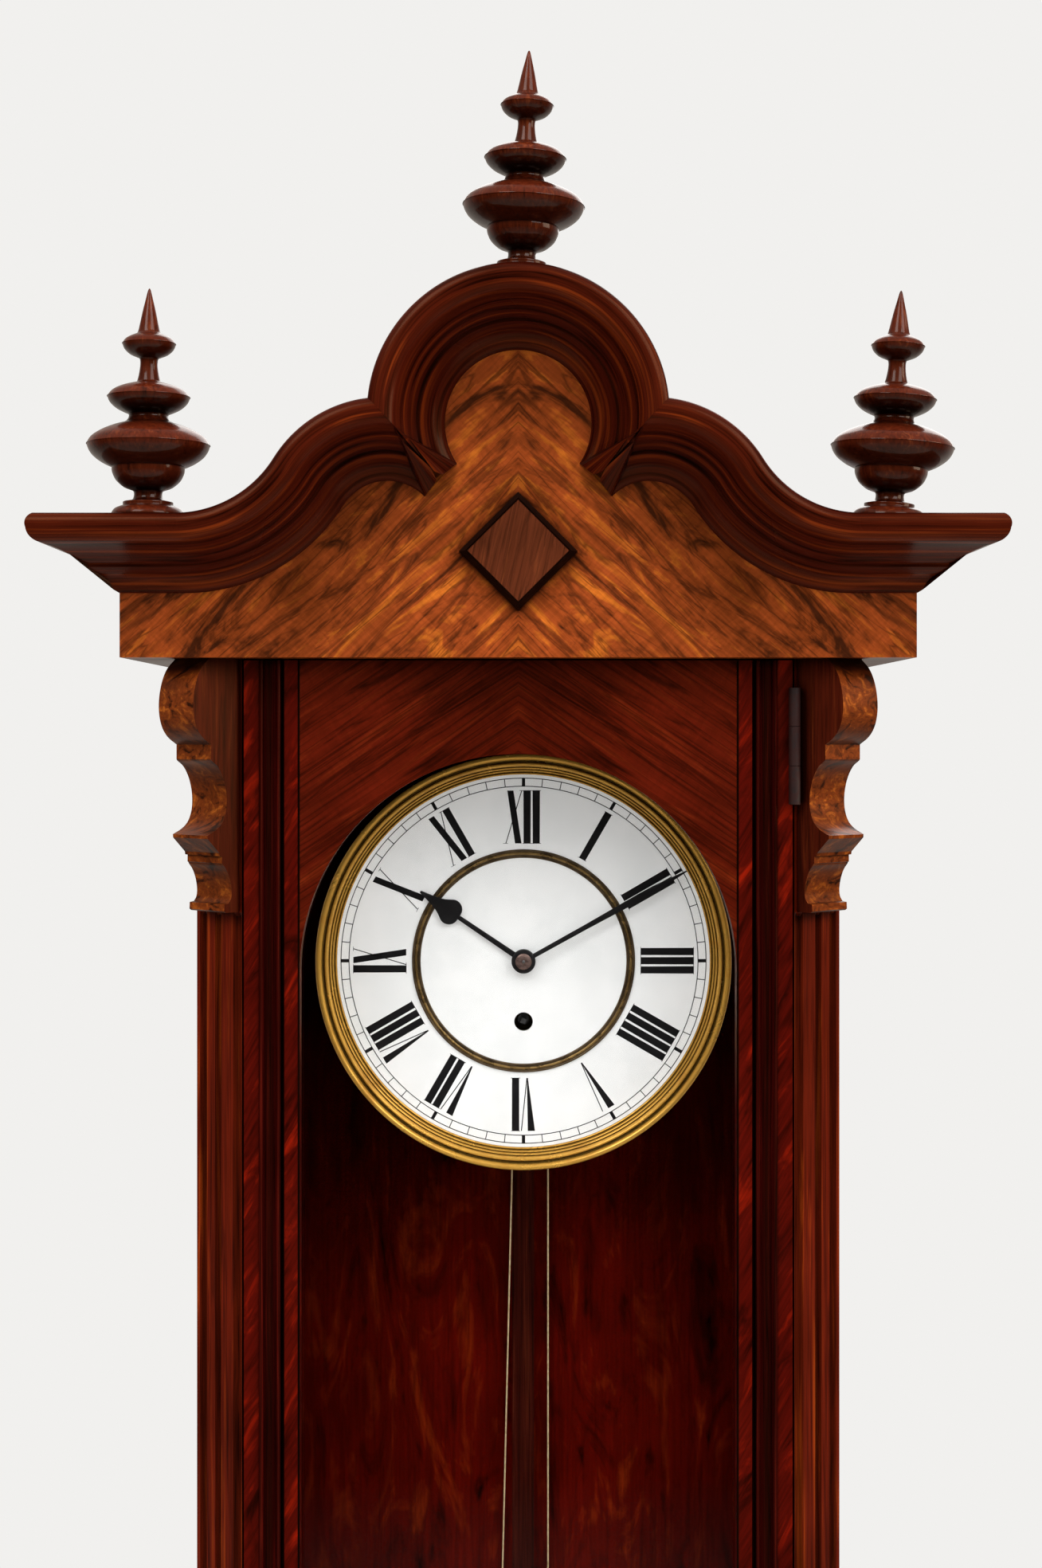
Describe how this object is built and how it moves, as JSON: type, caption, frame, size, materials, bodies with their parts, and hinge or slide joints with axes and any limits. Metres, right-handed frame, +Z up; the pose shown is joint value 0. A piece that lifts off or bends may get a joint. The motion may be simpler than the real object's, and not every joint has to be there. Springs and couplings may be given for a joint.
{
  "type": "wall clock",
  "caption": "Weight-driven pendulum wall clock in a glazed wooden case with arched crown, finials, enamel dial, geared hands and opening door.",
  "frame": {"origin": "centre of the hanger hole on the wall plane", "axes": "+Z up, -Y towards the viewer, +Y into the wall, +X to the viewer's right"},
  "size_m": [0.3862, 0.2045, 1.1299],
  "materials": {
    "case_wood": "polished walnut carcase",
    "crown_veneer": "orange-brown book-matched walnut veneer, French polished",
    "crossband": "deep red crossbanded veneer, polished",
    "spandrel_veneer": "dark red-brown walnut veneer, polished",
    "turned_wood": "turned and stained hardwood, polished",
    "ebonised": "ebonised moulding, polished",
    "backboard_veneer": "flame walnut veneer, polished",
    "pane": "clear old window glass",
    "dial_brass": "aged lacquered brass",
    "movement_brass": "brushed and lacquered brass",
    "weight_brass": "polished brass shell",
    "enamel": "white fired enamel",
    "ring_bronze": "dark bronzed ring",
    "steel": "polished steel",
    "blackened_steel": "blackened steel",
    "gut": "pale tan gut"
  },
  "bodies": {
    "case": {"backboard": "backboard_veneer", "hanger_plate": "steel", "case_side_left": "case_wood", "case_side_right": "case_wood", "side_glass": "pane", "corner_post_left": "case_wood", "corner_post_right": "case_wood", "top_board": "case_wood", "base_board": "case_wood", "tail_block": "case_wood", "tail_drop": "turned_wood", "corbels": "case_wood", "pediment_board": "crown_veneer", "cornice_front": "turned_wood", "cornice_returns": "turned_wood", "crown_frame": "case_wood", "cap_board": "turned_wood", "finial_left": "turned_wood", "finial_centre": "turned_wood", "finial_right": "turned_wood", "diamond_boss": "ebonised", "hinge_case_leaves": "dial_brass", "dial_plate": "movement_brass", "dial_centre": "enamel", "chapter_ring": "enamel", "dial_ring": "ring_bronze", "bezel": "dial_brass", "front_plate": "movement_brass", "back_plate": "movement_brass", "plate_pillars": "movement_brass", "movement_bracket": "blackened_steel", "gut_line": "gut"},
    "door": {"door_stile_left": "crossband", "door_stile_right": "crossband", "door_mouldings": "ebonised", "door_lock": "dial_brass", "door_spandrel": "spandrel_veneer", "door_bottom_rail": "crossband", "door_glass": "pane", "hinge_door_leaves": "dial_brass"},
    "bolt": {"lock_bolt": "steel"},
    "pendulum": {"pendulum_rod": "ebonised", "pendulum_bob": "weight_brass", "rating_nut": "dial_brass", "suspension_spring": "steel"},
    "anchor": {"anchor_crutch": "steel"},
    "minute_arbor": {"centre_wheel": "movement_brass", "cannon_pinion": "steel", "minute_hand": "blackened_steel"},
    "hour_arbor": {"hour_wheel": "movement_brass", "hour_hand": "blackened_steel"},
    "minute_wheel_arbor": {"minute_wheel": "movement_brass"},
    "great": {"great_wheel": "movement_brass"},
    "intermediate": {"intermediate_wheel": "movement_brass"},
    "third": {"third_wheel": "movement_brass"},
    "escape": {"escape_wheel": "movement_brass"},
    "drum": {"winding_drum": "movement_brass"},
    "weight": {"pulley_stirrup": "steel", "weight_shell": "weight_brass"},
    "pulley": {"weight_pulley": "movement_brass"}
  },
  "joints": [
    {"name": "door_hinge", "type": "hinge", "parent": "case", "child": "door", "pos_m": [0.1137, -0.1532, -0.1095], "axis": [0, 0, 1], "range_deg": [0, 100]},
    {"name": "lock_bolt_slide", "type": "slide", "parent": "door", "child": "bolt", "axis": [-1, 0, 0], "range_m": [0, 0.005]},
    {"name": "pendulum_swing", "type": "hinge", "parent": "case", "child": "pendulum", "pos_m": [0.0023, -0.032, -0.05129], "axis": [0, 1, 0], "range_deg": [-2, 2]},
    {"name": "anchor_rock", "type": "hinge", "parent": "case", "child": "anchor", "pos_m": [0.0023, -0.05, -0.05129], "axis": [0, 1, 0], "range_deg": [-2, 2]},
    {"name": "minute_turn", "type": "hinge", "parent": "case", "child": "minute_arbor", "pos_m": [0.0023, -0.1006, -0.1095], "axis": [0, 1, 0], "continuous": true},
    {"name": "hour_turn", "type": "hinge", "parent": "case", "child": "hour_arbor", "pos_m": [0.0023, -0.091, -0.1095], "axis": [0, 1, 0], "continuous": true},
    {"name": "minute_wheel_turn", "type": "hinge", "parent": "case", "child": "minute_wheel_arbor", "pos_m": [-0.01134, -0.0884, -0.11447], "axis": [0, 1, 0], "continuous": true},
    {"name": "great_turn", "type": "hinge", "parent": "case", "child": "great", "pos_m": [0.0023, -0.08, -0.136], "axis": [0, 1, 0], "continuous": true},
    {"name": "intermediate_turn", "type": "hinge", "parent": "case", "child": "intermediate", "pos_m": [-0.0164, -0.0592, -0.12327], "axis": [0, 1, 0], "continuous": true},
    {"name": "third_turn", "type": "hinge", "parent": "case", "child": "third", "pos_m": [0.01016, -0.0755, -0.08883], "axis": [0, 1, 0], "continuous": true},
    {"name": "escape_turn", "type": "hinge", "parent": "case", "child": "escape", "pos_m": [0.0023, -0.0625, -0.0725], "axis": [0, 1, 0], "continuous": true},
    {"name": "drum_winding", "type": "hinge", "parent": "case", "child": "drum", "pos_m": [0.0023, -0.07, -0.136], "axis": [0, -1, 0], "range_deg": [0, 3022]},
    {"name": "weight_travel", "type": "slide", "parent": "case", "child": "weight", "axis": [0, 0, 1], "range_m": [0, 0.29], "deforming": ["gut_line"]},
    {"name": "pulley_turn", "type": "hinge", "parent": "weight", "child": "pulley", "pos_m": [0.0013, -0.07, -0.5395], "axis": [0, -1, 0], "range_deg": [0, 1385]}
  ],
  "couplings": [
    {"joint": "anchor_rock", "follows": "pendulum_swing", "ratio": 1},
    {"joint": "hour_turn", "follows": "minute_turn", "ratio": 0.083333},
    {"joint": "minute_wheel_turn", "follows": "minute_turn", "ratio": -0.33333},
    {"joint": "intermediate_turn", "follows": "minute_turn", "ratio": -0.16667},
    {"joint": "great_turn", "follows": "minute_turn", "ratio": 0.041667},
    {"joint": "third_turn", "follows": "minute_turn", "ratio": -10},
    {"joint": "escape_turn", "follows": "minute_turn", "ratio": 80},
    {"joint": "drum_winding", "follows": "weight_travel", "rad_per_m": 181.82},
    {"joint": "pulley_turn", "follows": "weight_travel", "rad_per_m": 83.333}
  ]
}
